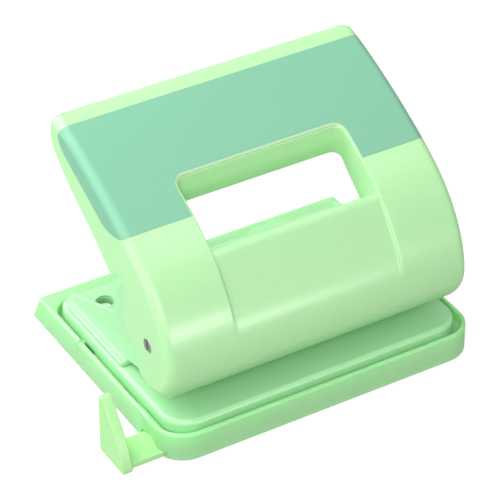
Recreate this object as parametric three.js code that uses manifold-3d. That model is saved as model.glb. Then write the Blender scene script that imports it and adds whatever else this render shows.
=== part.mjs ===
// Two-hole desk punch, built in millimetres with +Z up.
// X runs along the length, +Y points to the back, and the paper goes in from -Y.
// The origin is on the table, under the middle of the lower tray.

import * as THREE from 'three';
import { mergeVertices } from 'three/addons/utils/BufferGeometryUtils.js';
import Module from 'manifold-3d';

const wasm = await Module();
wasm.setup();

// ---------------------------------------------------------------- driving dimensions

const GAP = 0.3; // clearance wherever two pieces meet

const TRAY_LENGTH = 121.2;
const TRAY_FRONT_Y = -46;
const TRAY_BACK_Y = 46.6;
const TRAY_BACK_LEAN = 5; // how much further back the rear wall stands at the table
const TRAY_HEIGHT = 10.8;
const TRAY_WALL = 1.5;
const TRAY_FLOOR = 1.4;
const FRONT_CORNER_RADIUS = 11;
const BACK_CORNER_RADIUS = 2.6;
const TRAY_SPLIT_Y = 17.6; // where the rear frame ends and the opening tray begins
const TRAY_HINGE_Y = 15;
const TRAY_HINGE_Z = 2.4;
const TRAY_HINGE_PIN_RADIUS = 1.2;

const PLATE_HALF_LENGTH = 57;
const PLATE_FRONT_Y = -42.8;
const PLATE_BACK_Y = 39.5;
const PLATE_TOP_Z = 13;
const PLATE_THICKNESS = 1.4;
const PLATE_SKIRT_Z = 8;
const PLATE_EDGE_RADIUS = 2.4;

const FLANGE_TOP_Z = 15;
const PAPER_STOP_Y = -5.5;
const EAR_OUTER_X = 54;
const EAR_THICKNESS = 1.5;
const BRIDGE_Z = 18.2;
const BRIDGE_THICKNESS = 1.6;
const ACCESS_HOLE_RADIUS = 3.3;

const HOLE_SPACING = 80;
const PIN_Y = PAPER_STOP_Y - 12;
const PIN_RADIUS = 2.8;
const PIN_TIP_Z = 18.6;
const PIN_HEAD_TOP_Z = 38.4;
const PIN_HEAD_RADIUS = 4;
const PIN_HEAD_HEIGHT = 1.4;

const AXLE_Y = -27.5;
const AXLE_Z = 37.4;
const AXLE_RADIUS = 2.6;
const AXLE_HALF_LENGTH = 58;

const HANDLE_HALF_WIDTH = 58;
const HANDLE_WALL = 2.4;
const HANDLE_EDGE_RADIUS = 3.2;
const GRIP_THICKNESS = 1.2;
const WINDOW_HALF_WIDTH = 32.8;
const WINDOW_BACK_Y = -1.5;
const WINDOW_CORNER_RADIUS = 4;
const WINDOW_SLEEVE = 2;

const LEVER_X = 51;
const LEVER_SHEET = 1.5;
const NOSE_RADIUS = 2.5;

const GUIDE_FRONT_Y = -39.5;
const GUIDE_BACK_Y = -26.7;
const GUIDE_TOP_Z = 2.3;
const GUIDE_BOTTOM_Z = 0.25;
const FIN_OUTER_X = -75.4;
const FIN_INNER_X = -71.7;
const GUIDE_ARM_LENGTH = 103;

// ---------------------------------------------------------------- colours

const PLASTIC_GREEN = 0xc1efc2;
const TRAY_GREEN = 0xbdf0bf;
const GRIP_TEAL = 0x98d9b8;
const METAL_MINT = 0xc0f2c8;
const GUIDE_GREEN = 0xb4ecae;
const STEEL = 0xb9b6b8;

function plastic(color, roughness = 0.42) {
  return new THREE.MeshStandardMaterial({ color, roughness, metalness: 0 });
}

function paintedSteel() {
  return new THREE.MeshStandardMaterial({ color: METAL_MINT, roughness: 0.22, metalness: 0.1 });
}

function bareSteel(roughness = 0.3) {
  return new THREE.MeshStandardMaterial({ color: STEEL, roughness, metalness: 1 });
}

// ---------------------------------------------------------------- solids from outlines

// Places an outline point (u, v) at distance w along the named axis.
const PLACE = {
  x: (u, v, w) => [w, u, v],
  y: (u, v, w) => [u, w, v],
  z: (u, v, w) => [u, v, w],
};

// Skins a stack of outlines that all have the same number of points, and caps both ends.
function skin(axis, sections) {
  const count = sections[0].outline.length;
  const positions = [];
  const index = [];
  for (const { at, outline } of sections) {
    for (const [u, v] of outline) {
      positions.push(...PLACE[axis](u, v, at));
    }
  }
  for (let s = 0; s < sections.length - 1; s++) {
    for (let i = 0; i < count; i++) {
      const a = s * count + i;
      const b = s * count + ((i + 1) % count);
      index.push(a, b, b + count, a, b + count, a + count);
    }
  }
  const capAt = (section, start, flip) => {
    const contour = section.outline.map(([u, v]) => new THREE.Vector2(u, v));
    for (const [a, b, c] of THREE.ShapeUtils.triangulateShape(contour, [])) {
      index.push(start + a, start + (flip ? c : b), start + (flip ? b : c));
    }
  };
  const clockwise = THREE.ShapeUtils.isClockWise(
    sections[0].outline.map(([u, v]) => new THREE.Vector2(u, v)));
  capAt(sections[0], 0, !clockwise);
  capAt(sections[sections.length - 1], (sections.length - 1) * count, clockwise);
  const geometry = new THREE.BufferGeometry();
  geometry.setAttribute('position', new THREE.Float32BufferAttribute(positions, 3));
  geometry.setIndex(index);
  return facingOut(geometry);
}

// Turns the triangles over when the signed volume comes out negative.
function facingOut(geometry) {
  const p = geometry.attributes.position;
  const index = geometry.index.array;
  const a = new THREE.Vector3();
  const b = new THREE.Vector3();
  const c = new THREE.Vector3();
  let volume = 0;
  for (let i = 0; i < index.length; i += 3) {
    a.fromBufferAttribute(p, index[i]);
    b.fromBufferAttribute(p, index[i + 1]);
    c.fromBufferAttribute(p, index[i + 2]);
    volume += a.dot(b.cross(c));
  }
  if (volume < 0) {
    for (let i = 0; i < index.length; i += 3) {
      [index[i + 1], index[i + 2]] = [index[i + 2], index[i + 1]];
    }
  }
  return geometry;
}

// Turns a triangle geometry into a closed body that can be joined and cut.
function solid(geometry) {
  geometry.deleteAttribute('normal');
  geometry.deleteAttribute('uv');
  const merged = mergeVertices(geometry, 1e-4);
  return new wasm.Manifold(new wasm.Mesh({
    numProp: 3,
    vertProperties: new Float32Array(merged.attributes.position.array),
    triVerts: new Uint32Array(merged.index.array),
  }));
}

function prism(axis, outline, from, to) {
  return solid(skin(axis, [{ at: from, outline }, { at: to, outline }]));
}

function box(x0, x1, y0, y1, z0, z1) {
  return prism('z', [[x0, y0], [x1, y0], [x1, y1], [x0, y1]], z0, z1);
}

function arc(u, v, radius, fromDeg, toDeg, steps) {
  const points = [];
  for (let i = 0; i <= steps; i++) {
    const angle = THREE.MathUtils.degToRad(fromDeg + ((toDeg - fromDeg) * i) / steps);
    points.push([u + radius * Math.cos(angle), v + radius * Math.sin(angle)]);
  }
  return points;
}

function circle(u, v, radius, sides = 32) {
  return arc(u, v, radius, 0, 360 - 360 / sides, sides - 1);
}

// A rod along an axis, centred on (u, v).
function rod(axis, u, v, radius, from, to, sides = 32) {
  return prism(axis, circle(u, v, radius, sides), from, to);
}

// A turned piece: each step is [distance along the axis, radius].
function turned(axis, u, v, steps, sides = 32) {
  const sections = steps.map(([at, radius]) => ({ at, outline: circle(u, v, radius, sides) }));
  return solid(skin(axis, sections));
}

// A rectangle in plan with its own radius at the front and the back corners.
function plan(halfX, frontY, backY, frontRadius, backRadius, steps = 8) {
  return [
    ...arc(-halfX + frontRadius, frontY + frontRadius, frontRadius, 180, 270, steps),
    ...arc(halfX - frontRadius, frontY + frontRadius, frontRadius, 270, 360, steps),
    ...arc(halfX - backRadius, backY - backRadius, backRadius, 0, 90, steps),
    ...arc(-halfX + backRadius, backY - backRadius, backRadius, 90, 180, steps),
  ];
}

function meshOf(name, body, material) {
  const { vertProperties, triVerts } = body.getMesh();
  const geometry = new THREE.BufferGeometry();
  geometry.setAttribute('position', new THREE.BufferAttribute(new Float32Array(vertProperties), 3));
  geometry.setIndex(new THREE.BufferAttribute(new Uint32Array(triVerts), 1));
  geometry.computeVertexNormals();
  const mesh = new THREE.Mesh(geometry, material);
  mesh.name = name;
  return mesh;
}

const punch = new THREE.Group();
punch.name = 'hole_punch';

function addPart(name, body, material) {
  punch.add(meshOf(name, body, material));
}

const SIDES = [['left', -1], ['right', 1]];

// ---------------------------------------------------------------- base plate

// A plan-shaped slab whose top edge is rounded over by a few steps.
function roundedSlab(halfX, frontY, backY, frontRadius, backRadius, bottomZ, topZ, edge, backLean = 0) {
  const foot = plan(halfX, frontY, backY + backLean, frontRadius, backRadius);
  const sections = [{ at: bottomZ, outline: foot }];
  for (const degrees of [0, 30, 60, 90]) {
    const angle = THREE.MathUtils.degToRad(degrees);
    const inset = edge * (1 - Math.cos(angle));
    sections.push({
      at: topZ - edge + edge * Math.sin(angle),
      outline: plan(halfX - inset, frontY + inset, backY - inset, frontRadius - inset, backRadius - inset),
    });
  }
  return solid(skin('z', sections));
}

const PLATE_FRONT_RADIUS = 10;
const PLATE_BACK_RADIUS = 6;
const DIE_HOLE_RADIUS = PIN_RADIUS + GAP;
const PEG_X = 45;
const PEG_Y = 27.6;
const PEG_RADIUS = 2;
const RIVET_SHANK_RADIUS = 1.5;
const RIVET_PLACES = [[-25, 1.5], [25, 1.5], [-25, 29], [25, 29]];

function basePlate() {
  const outer = roundedSlab(PLATE_HALF_LENGTH, PLATE_FRONT_Y, PLATE_BACK_Y,
    PLATE_FRONT_RADIUS, PLATE_BACK_RADIUS, PLATE_SKIRT_Z, PLATE_TOP_Z, PLATE_EDGE_RADIUS);
  const hollow = prism('z', plan(PLATE_HALF_LENGTH - PLATE_THICKNESS, PLATE_FRONT_Y + PLATE_THICKNESS,
    PLATE_BACK_Y - PLATE_THICKNESS, PLATE_FRONT_RADIUS - PLATE_THICKNESS,
    PLATE_BACK_RADIUS - PLATE_THICKNESS), PLATE_SKIRT_Z - 1, PLATE_TOP_Z - PLATE_THICKNESS);
  let plate = outer.subtract(hollow);
  for (const [, side] of SIDES) {
    plate = plate
      .subtract(rod('z', (side * HOLE_SPACING) / 2, PIN_Y, DIE_HOLE_RADIUS, 0, 20))
      .subtract(rod('z', side * PEG_X, PEG_Y, PEG_RADIUS + GAP, 0, 20));
  }
  for (const [x, y] of RIVET_PLACES) {
    plate = plate.subtract(rod('z', x, y, RIVET_SHANK_RADIUS + GAP, 0, 20, 20));
  }
  return plate;
}

addPart('base_plate', basePlate(), paintedSteel());

// ---------------------------------------------------------------- frame bracket

// Sheet flange on the plate, folded up at both ends into the ears that hold the axle.
const FLANGE_FRONT_RADIUS = 1;
const EAR_OUTLINE = [
  [34.5, FLANGE_TOP_Z - 0.6],
  [34.5, 17.4],
  [3, 29.7],
  [-1, 33.5],
  [-4, 44],
  [-9, 49.5],
  [-17, 51],
  ...arc(AXLE_Y, AXLE_Z, 6.4, 75, 180, 8),
  [AXLE_Y - 5, BRIDGE_Z + 6],
  [AXLE_Y - 3.5, BRIDGE_Z],
  [-13, BRIDGE_Z - 0.9],
  [PAPER_STOP_Y, FLANGE_TOP_Z + 0.6],
  [PAPER_STOP_Y, FLANGE_TOP_Z - 0.6],
];

function frameBracket() {
  const flangeBottom = PLATE_TOP_Z + GAP;
  let bracket = roundedSlab(PLATE_HALF_LENGTH - 0.6, PAPER_STOP_Y, PLATE_BACK_Y - 0.6,
    FLANGE_FRONT_RADIUS, PLATE_BACK_RADIUS - 0.6, flangeBottom, FLANGE_TOP_Z, 0.9);
  for (const [, side] of SIDES) {
    const inner = side * (EAR_OUTER_X - EAR_THICKNESS);
    const outer = side * EAR_OUTER_X;
    bracket = bracket
      .add(prism('x', EAR_OUTLINE, Math.min(inner, outer), Math.max(inner, outer)))
      .subtract(rod('z', side * PEG_X, PEG_Y, ACCESS_HOLE_RADIUS, 0, 20));
  }
  bracket = bracket.subtract(rod('x', AXLE_Y, AXLE_Z, AXLE_RADIUS + GAP, -70, 70));
  for (const [x, y] of RIVET_PLACES) {
    bracket = bracket.subtract(rod('z', x, y, RIVET_SHANK_RADIUS + GAP, 0, 20, 20));
  }
  return bracket;
}

addPart('frame_bracket', frameBracket(), paintedSteel());

// ---------------------------------------------------------------- guide bridge and bushes

const BRIDGE_HALF_LENGTH = EAR_OUTER_X - EAR_THICKNESS - GAP;
const BUSH_BODY_RADIUS = 4.5;
const BUSH_FLANGE_RADIUS = 5.4;
const BUSH_TOP_Z = 21.6;
const BRIDGE_TOP_Z = BRIDGE_Z + BRIDGE_THICKNESS;
const BRIDGE_OUTLINE = [
  [-31.5, BRIDGE_Z + 5],
  [-31.5, BRIDGE_Z + 1],
  [-30.5, BRIDGE_Z],
  [PAPER_STOP_Y, BRIDGE_Z],
  [PAPER_STOP_Y, FLANGE_TOP_Z + GAP],
  [8, FLANGE_TOP_Z + GAP],
  [8, FLANGE_TOP_Z + GAP + 1.3],
  [PAPER_STOP_Y + 2.4, FLANGE_TOP_Z + GAP + 1.3],
  [PAPER_STOP_Y + 1.5, FLANGE_TOP_Z + GAP + 2.2],
  [PAPER_STOP_Y + 1.5, BRIDGE_TOP_Z - 0.6],
  [PAPER_STOP_Y + 0.9, BRIDGE_TOP_Z],
  [-30, BRIDGE_TOP_Z],
  [-30, BRIDGE_Z + 5],
];

function guideBridge() {
  let bridge = prism('x', BRIDGE_OUTLINE, -BRIDGE_HALF_LENGTH, BRIDGE_HALF_LENGTH);
  for (const [, side] of SIDES) {
    bridge = bridge.subtract(
      rod('z', (side * HOLE_SPACING) / 2, PIN_Y, BUSH_BODY_RADIUS + GAP, 10, 30));
  }
  for (const [x, y] of RIVET_PLACES.slice(0, 2)) {
    bridge = bridge.subtract(rod('z', x, y, RIVET_SHANK_RADIUS + GAP, 10, 30, 20));
  }
  return bridge;
}

addPart('guide_bridge', guideBridge(), paintedSteel());

function guideBush(x) {
  const body = turned('z', x, PIN_Y, [
    [BRIDGE_Z + 0.1, BUSH_BODY_RADIUS],
    [BRIDGE_TOP_Z + GAP, BUSH_BODY_RADIUS],
    [BRIDGE_TOP_Z + GAP + 0.01, BUSH_FLANGE_RADIUS],
    [BUSH_TOP_Z - 0.3, BUSH_FLANGE_RADIUS],
    [BUSH_TOP_Z, BUSH_FLANGE_RADIUS - 0.4],
  ]);
  return body.subtract(rod('z', x, PIN_Y, PIN_RADIUS + GAP, 10, 30));
}

for (const [side, sign] of SIDES) {
  addPart(`guide_bush_${side}`, guideBush((sign * HOLE_SPACING) / 2), bareSteel(0.35));
}

// ---------------------------------------------------------------- rivets

function rivet(x, y, seatZ) {
  const under = PLATE_TOP_Z - PLATE_THICKNESS - GAP;
  return turned('z', x, y, [
    [under - 1.1, 1.6],
    [under - 0.8, 2.7],
    [under, 2.8],
    [under + 0.01, RIVET_SHANK_RADIUS],
    [seatZ, RIVET_SHANK_RADIUS],
    [seatZ + 0.01, 2.8],
    [seatZ + 0.5, 2.6],
    [seatZ + 1, 1.4],
  ], 20);
}

const RIVET_NAMES = ['front_left', 'front_right', 'rear_left', 'rear_right'];
RIVET_PLACES.forEach(([x, y], i) => {
  const seat = i < 2 ? FLANGE_TOP_Z + GAP + 1.3 + GAP : FLANGE_TOP_Z + GAP;
  addPart(`frame_rivet_${RIVET_NAMES[i]}`, rivet(x, y, seat), bareSteel(0.35));
});

// ---------------------------------------------------------------- pivot axle and its clips

const CLIP_GROOVE_RADIUS = 1.9;
const CLIP_FROM = EAR_OUTER_X + 0.35;
const CLIP_TO = EAR_OUTER_X + 1.05;

function pivotAxle() {
  const half = AXLE_HALF_LENGTH;
  let axle = turned('x', AXLE_Y, AXLE_Z, [
    [-half, AXLE_RADIUS - 0.5],
    [-half + 0.5, AXLE_RADIUS],
    [-CLIP_TO - GAP, AXLE_RADIUS],
    [-CLIP_TO - GAP + 0.01, CLIP_GROOVE_RADIUS],
    [-CLIP_FROM + GAP - 0.01, CLIP_GROOVE_RADIUS],
    [-CLIP_FROM + GAP, AXLE_RADIUS],
    [CLIP_FROM - GAP, AXLE_RADIUS],
    [CLIP_FROM - GAP + 0.01, CLIP_GROOVE_RADIUS],
    [CLIP_TO + GAP - 0.01, CLIP_GROOVE_RADIUS],
    [CLIP_TO + GAP, AXLE_RADIUS],
    [half - 0.5, AXLE_RADIUS],
    [half, AXLE_RADIUS - 0.5],
  ]);
  for (const [, side] of SIDES) {
    const outer = side * (half + 1);
    const inner = side * (half - 0.6);
    axle = axle.subtract(box(Math.min(inner, outer), Math.max(inner, outer),
      AXLE_Y - 0.35, AXLE_Y + 0.35, AXLE_Z - 4, AXLE_Z + 4));
  }
  return axle;
}

addPart('pivot_axle', pivotAxle(), bareSteel(0.28));

// An open ring that snaps into the axle groove, with its mouth facing down.
function axleClip(side) {
  const from = side < 0 ? -CLIP_TO : CLIP_FROM;
  const to = side < 0 ? -CLIP_FROM : CLIP_TO;
  const mouth = 35;
  const outline = [
    ...arc(AXLE_Y, AXLE_Z, 4.6, -90 + mouth, 270 - mouth, 20),
    ...arc(AXLE_Y, AXLE_Z, CLIP_GROOVE_RADIUS + GAP, 270 - mouth, -90 + mouth, 16),
  ];
  return prism('x', outline, from, to);
}

for (const [side, sign] of SIDES) {
  addPart(`axle_clip_${side}`, axleClip(sign), bareSteel(0.3));
}

// ---------------------------------------------------------------- punch pins, springs, retainers

const RETAINER_TOP_Z = PIN_HEAD_TOP_Z - PIN_HEAD_HEIGHT - GAP;
const RETAINER_THICKNESS = 0.8;
const SPRING_BOTTOM_Z = BUSH_TOP_Z + GAP;
const SPRING_TOP_Z = RETAINER_TOP_Z - RETAINER_THICKNESS - GAP;
const SPRING_WIRE_RADIUS = 0.4;
const SPRING_RADIUS = 4;
const SPRING_TURNS = 5.5;

// The cutting end is ground to a shallow V, so the two edges shear one after the other.
function punchPin(x) {
  const headBottom = PIN_HEAD_TOP_Z - PIN_HEAD_HEIGHT;
  const pin = turned('z', x, PIN_Y, [
    [PIN_TIP_Z, PIN_RADIUS],
    [headBottom, PIN_RADIUS],
    [headBottom + 0.01, PIN_HEAD_RADIUS],
    [PIN_HEAD_TOP_Z - 0.4, PIN_HEAD_RADIUS],
    [PIN_HEAD_TOP_Z, PIN_HEAD_RADIUS - 0.4],
  ]);
  const notch = prism('y', [
    [x - PIN_RADIUS - 1, PIN_TIP_Z - 1],
    [x + PIN_RADIUS + 1, PIN_TIP_Z - 1],
    [x, PIN_TIP_Z + 1],
  ], PIN_Y - 5, PIN_Y + 5);
  return pin.subtract(notch);
}

// Round wire wound into a coil, closed with a flat face at each end.
function coil(x) {
  const perTurn = 20;
  const wireSides = 7;
  const steps = Math.round(SPRING_TURNS * perTurn);
  const low = SPRING_BOTTOM_Z + SPRING_WIRE_RADIUS;
  const rise = SPRING_TOP_Z - SPRING_WIRE_RADIUS - low;
  const positions = [];
  const index = [];
  for (let i = 0; i <= steps; i++) {
    const angle = (i / perTurn) * 2 * Math.PI;
    const centre = new THREE.Vector3(x + SPRING_RADIUS * Math.cos(angle),
      PIN_Y + SPRING_RADIUS * Math.sin(angle), low + (rise * i) / steps);
    const outward = new THREE.Vector3(Math.cos(angle), Math.sin(angle), 0);
    for (let k = 0; k < wireSides; k++) {
      const turn = (k / wireSides) * 2 * Math.PI;
      const point = centre.clone().addScaledVector(outward, SPRING_WIRE_RADIUS * Math.cos(turn));
      point.z += SPRING_WIRE_RADIUS * Math.sin(turn);
      positions.push(point.x, point.y, point.z);
    }
  }
  for (let i = 0; i < steps; i++) {
    for (let k = 0; k < wireSides; k++) {
      const a = i * wireSides + k;
      const b = i * wireSides + ((k + 1) % wireSides);
      index.push(a, b, b + wireSides, a, b + wireSides, a + wireSides);
    }
  }
  const last = steps * wireSides;
  for (let k = 1; k < wireSides - 1; k++) {
    index.push(0, k + 1, k);
    index.push(last, last + k, last + k + 1);
  }
  const geometry = new THREE.BufferGeometry();
  geometry.setAttribute('position', new THREE.Float32BufferAttribute(positions, 3));
  geometry.setIndex(index);
  return solid(facingOut(geometry));
}

for (const [side, sign] of SIDES) {
  const x = (sign * HOLE_SPACING) / 2;
  addPart(`punch_pin_${side}`, punchPin(x), bareSteel(0.25));
  addPart(`pin_spring_${side}`, coil(x), bareSteel(0.3));
  const washer = rod('z', x, PIN_Y, 5, RETAINER_TOP_Z - RETAINER_THICKNESS, RETAINER_TOP_Z)
    .subtract(rod('z', x, PIN_Y, PIN_RADIUS + GAP, 0, 60));
  addPart(`spring_retainer_${side}`, washer, bareSteel(0.35));
}

// ---------------------------------------------------------------- handle outline

// Outer face of the handle from the free end over the top and down to the front lip, as (y, z).
const FACE = [
  [32.6, 75],
  [35.8, 78.2],
  [37.3, 81.4],
  [37.6, 84.8],
  [37.2, 87.6],
  [36, 90],
  [33.4, 91.3],
  [28.4, 90.3],
  [21, 87.8],
  [14, 85],
  [4.4, 80.8],
  [-3.5, 76.9],
  [-12.5, 72.1],
  [-21.5, 66.4],
  [-27, 62],
  [-32, 56.8],
  [-36.6, 50.2],
  [-39.4, 44.5],
  [-41.2, 38.8],
  [-42, 33.4],
  [-41.5, 28.6],
  [-39.6, 24.6],
  [-36.8, 21],
];

// Open lower edge of the side walls, from the front lip back up to the free end.
const RIM = [
  [-34, 20.2],
  [-29, 19.6],
  [-24.5, 21],
  [-21.2, 22.6],
  [-20.2, 27],
  [-19.2, 31.2],
  [-16.4, 33.4],
  [-12.8, 34.8],
  [-11.4, 37.5],
  [-11.6, 41],
  [-12.2, 46],
  [-11.9, 52.4],
  [-10.6, 53.8],
  [-4.6, 51],
  [-2.6, 51],
  [1.2, 54],
  [9.8, 60.4],
  [22.8, 68.6],
];

// The free end is a tight curl of this many face points, which can move in only this far.
const CURL_POINTS = 7;
const CURL_LIMIT = 2.5;

// Moves the face points inward by a distance, square to the face; the rim points stay.
function insetOutline(distance) {
  const moved = FACE.map(([y, z], i) => {
    const before = FACE[Math.max(i - 1, 0)];
    const after = FACE[Math.min(i + 1, FACE.length - 1)];
    const along = new THREE.Vector2(after[0] - before[0], after[1] - before[1]).normalize();
    const step = i < CURL_POINTS ? Math.min(distance, CURL_LIMIT) : distance;
    return [y - along.y * step, z + along.x * step];
  });
  return [...moved, ...RIM];
}

// The handle as a full block, inset all round, with rounded ridges along both sides.
function handleBlock(inset) {
  const half = HANDLE_HALF_WIDTH - inset;
  const radius = HANDLE_EDGE_RADIUS - inset;
  const ends = [0, 18, 36, 54, 72, 90].map((degrees) => {
    const angle = THREE.MathUtils.degToRad(degrees);
    return {
      x: half - radius * (1 - Math.sin(angle)),
      outline: insetOutline(inset + radius * (1 - Math.cos(angle))),
    };
  });
  const sections = [
    ...[...ends].reverse().map(({ x, outline }) => ({ at: -x, outline })),
    ...ends.map(({ x, outline }) => ({ at: x, outline })),
  ];
  return solid(skin('x', sections));
}

// ---------------------------------------------------------------- finger window

// Floor of the finger channel below the window, and the roll at its top edge.
const CHANNEL_FADE = [-41.6, 39.5];
const ROLL_CENTRE = [-21.2, 53.9];
const ROLL_RADIUS = 6;
const CHANNEL_TANGENT_DEG = 123;

const CHANNEL_OUTLINE = [
  [CHANNEL_FADE[0] - 10, CHANNEL_FADE[1]],
  CHANNEL_FADE,
  ...arc(ROLL_CENTRE[0], ROLL_CENTRE[1], ROLL_RADIUS, CHANNEL_TANGENT_DEG, 0, 8),
  [ROLL_CENTRE[0] + ROLL_RADIUS, 30],
  [WINDOW_BACK_Y, 30],
  [WINDOW_BACK_Y, 100],
  [CHANNEL_FADE[0] - 10, 100],
];

function windowPlan(grow) {
  return plan(WINDOW_HALF_WIDTH + grow, -80, WINDOW_BACK_Y + grow, 1, WINDOW_CORNER_RADIUS + grow);
}

const windowCut = prism('x', CHANNEL_OUTLINE, -40, 40).intersect(prism('z', windowPlan(0), 0, 120));

// Material that lines the window and carries the channel floor.
const SLEEVE_OUTLINE = [
  [CHANNEL_FADE[0] - 10, CHANNEL_FADE[1] - 1.5],
  [CHANNEL_FADE[0] + 1.4, CHANNEL_FADE[1] - 1.5],
  ...arc(ROLL_CENTRE[0], ROLL_CENTRE[1], ROLL_RADIUS - WINDOW_SLEEVE, CHANNEL_TANGENT_DEG, 0, 8),
  [ROLL_CENTRE[0] + ROLL_RADIUS - WINDOW_SLEEVE, 50],
  [ROLL_CENTRE[0] + ROLL_RADIUS, 50],
  [ROLL_CENTRE[0] + ROLL_RADIUS, 54.5],
  [WINDOW_BACK_Y - WINDOW_CORNER_RADIUS, 60.8],
  [WINDOW_BACK_Y - 0.1, 68],
  [WINDOW_BACK_Y + WINDOW_SLEEVE, 68.6],
  [WINDOW_BACK_Y + WINDOW_SLEEVE, 100],
  [CHANNEL_FADE[0] - 10, 100],
];

const sleeve = prism('x', SLEEVE_OUTLINE, -40, 40)
  .intersect(prism('z', windowPlan(WINDOW_SLEEVE), 0, 120));

// ---------------------------------------------------------------- grip inlay

const GRIP_REGION = [
  [-23, 89],
  [-13.4, 70.6],
  [-11.6, 68.8],
  [-8, 67.5],
  [-4, 67.4],
  [0.6, 69.2],
  [27.6, 85.1],
  [29.2, 86.6],
  [29, 88.6],
  [28, 90],
  [27.6, 100],
];

function grown(outline, distance) {
  const share = 1 / outline.length;
  const centre = outline.reduce(([a, b], [u, v]) => [a + u * share, b + v * share], [0, 0]);
  return outline.map(([u, v], i) => {
    const before = outline[(i + outline.length - 1) % outline.length];
    const after = outline[(i + 1) % outline.length];
    const normal = new THREE.Vector2(after[1] - before[1], before[0] - after[0]).normalize();
    const outward = normal.x * (u - centre[0]) + normal.y * (v - centre[1]) < 0 ? -1 : 1;
    return [u + normal.x * distance * outward, v + normal.y * distance * outward];
  });
}

const fullHandle = handleBlock(0);

// Everything inside the grip region that lies above a given depth below the handle's face.
function gripBand(depth, grow, rim) {
  return prism('x', grown(GRIP_REGION, grow), -70, 70)
    .subtract(handleBlock(depth))
    .subtract(prism('z', windowPlan(rim), 0, 120));
}

const gripInlay = gripBand(GRIP_THICKNESS, 0, 1.2).intersect(fullHandle);
addPart('grip_inlay', gripInlay, plastic(GRIP_TEAL, 0.5));

// ---------------------------------------------------------------- handle shell

// Line square to the channel floor, used for the bosses and the press lever behind it.
const FLOOR_ALONG = new THREE.Vector2(0.646, 0.763).normalize();
const FLOOR_INWARD = new THREE.Vector2(FLOOR_ALONG.y, -FLOOR_ALONG.x);

function behindFloor(along, depth) {
  return [
    CHANNEL_FADE[0] + 0.6 + FLOOR_ALONG.x * along + FLOOR_INWARD.x * depth,
    CHANNEL_FADE[1] + FLOOR_ALONG.y * along + FLOOR_INWARD.y * depth,
  ];
}

// A round post standing square to the channel floor between two depths.
function floorPost(x, along, radius, fromDepth, toDepth, sides = 20) {
  const tilt = Math.atan2(FLOOR_INWARD.y, FLOOR_INWARD.x);
  const geometry = skin('z', [
    { at: fromDepth, outline: circle(0, 0, radius, sides) },
    { at: toDepth, outline: circle(0, 0, radius, sides) },
  ]);
  geometry.rotateX(tilt - Math.PI / 2);
  const [y, z] = behindFloor(along, 0);
  geometry.translate(x, y, z);
  return solid(geometry);
}

const SCREW_X = 20;
const SCREW_ALONG = 17;
const LEVER_DEPTH = 6;

function handleShell() {
  const cavityFace = insetOutline(HANDLE_WALL).slice(0, FACE.length);
  const cavity = prism('x', [
    [cavityFace[0][0], 0],
    ...cavityFace,
    [cavityFace[cavityFace.length - 1][0], 0],
  ], -HANDLE_HALF_WIDTH + HANDLE_WALL, HANDLE_HALF_WIDTH - HANDLE_WALL);
  let shell = fullHandle
    .subtract(cavity.subtract(sleeve))
    .subtract(windowCut)
    .subtract(gripBand(GRIP_THICKNESS + GAP, GAP, 0.9))
    .subtract(rod('x', AXLE_Y, AXLE_Z, AXLE_RADIUS + GAP, -70, 70));
  for (const [, side] of SIDES) {
    shell = shell
      .add(floorPost(side * SCREW_X, SCREW_ALONG, 3.4, 1.2, LEVER_DEPTH - GAP))
      .subtract(floorPost(side * SCREW_X, SCREW_ALONG, 1.5, 1.8, 12));
  }
  return shell;
}

addPart('handle_shell', handleShell(), plastic(PLASTIC_GREEN, 0.4));

// ---------------------------------------------------------------- press lever and its screws

const NOSE_REACH = 10.7;
const NOSE_ANGLE_DEG = 21;
const NOSE_Y = AXLE_Y + NOSE_REACH * Math.cos(THREE.MathUtils.degToRad(NOSE_ANGLE_DEG));
const NOSE_Z = AXLE_Z + NOSE_REACH * Math.sin(THREE.MathUtils.degToRad(NOSE_ANGLE_DEG));

function pressLever() {
  const web = [
    behindFloor(8, LEVER_DEPTH),
    behindFloor(25, LEVER_DEPTH),
    behindFloor(25, LEVER_DEPTH + LEVER_SHEET),
    behindFloor(8, LEVER_DEPTH + LEVER_SHEET),
  ];
  let lever = prism('x', web, -LEVER_X, LEVER_X);
  const cheek = [
    ...arc(AXLE_Y, AXLE_Z, 5.2, 170, 330, 10),
    [-14.5, 44],
    behindFloor(25, LEVER_DEPTH + 0.4),
    behindFloor(8, LEVER_DEPTH + 0.4),
  ];
  const nose = [
    ...arc(NOSE_Y, NOSE_Z, NOSE_RADIUS, 190, 370, 12),
    behindFloor(24, LEVER_DEPTH + 1),
    behindFloor(14, LEVER_DEPTH + 1),
  ];
  for (const [, side] of SIDES) {
    const inner = side * (LEVER_X - LEVER_SHEET);
    const outer = side * LEVER_X;
    const pinX = (side * HOLE_SPACING) / 2;
    lever = lever
      .add(prism('x', cheek, Math.min(inner, outer), Math.max(inner, outer)))
      .add(prism('x', nose, pinX - 4, pinX + 4))
      .subtract(floorPost(side * SCREW_X, SCREW_ALONG, 1.7, 4, 12));
  }
  return lever.subtract(rod('x', AXLE_Y, AXLE_Z, AXLE_RADIUS + GAP, -70, 70));
}

addPart('press_lever', pressLever(), bareSteel(0.4));

function leverScrew(x) {
  const headFrom = LEVER_DEPTH + LEVER_SHEET + GAP;
  const head = floorPost(x, SCREW_ALONG, 2.8, headFrom, headFrom + 1.6);
  const shank = floorPost(x, SCREW_ALONG, 1.2, 2.4, headFrom + 0.2);
  const slot = floorPost(x, SCREW_ALONG, 0.9, headFrom + 0.9, headFrom + 3, 4);
  return head.add(shank).subtract(slot);
}

for (const [side, sign] of SIDES) {
  addPart(`lever_screw_${side}`, leverScrew(sign * SCREW_X), bareSteel(0.3));
}

// ---------------------------------------------------------------- lower tray, rear frame

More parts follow.
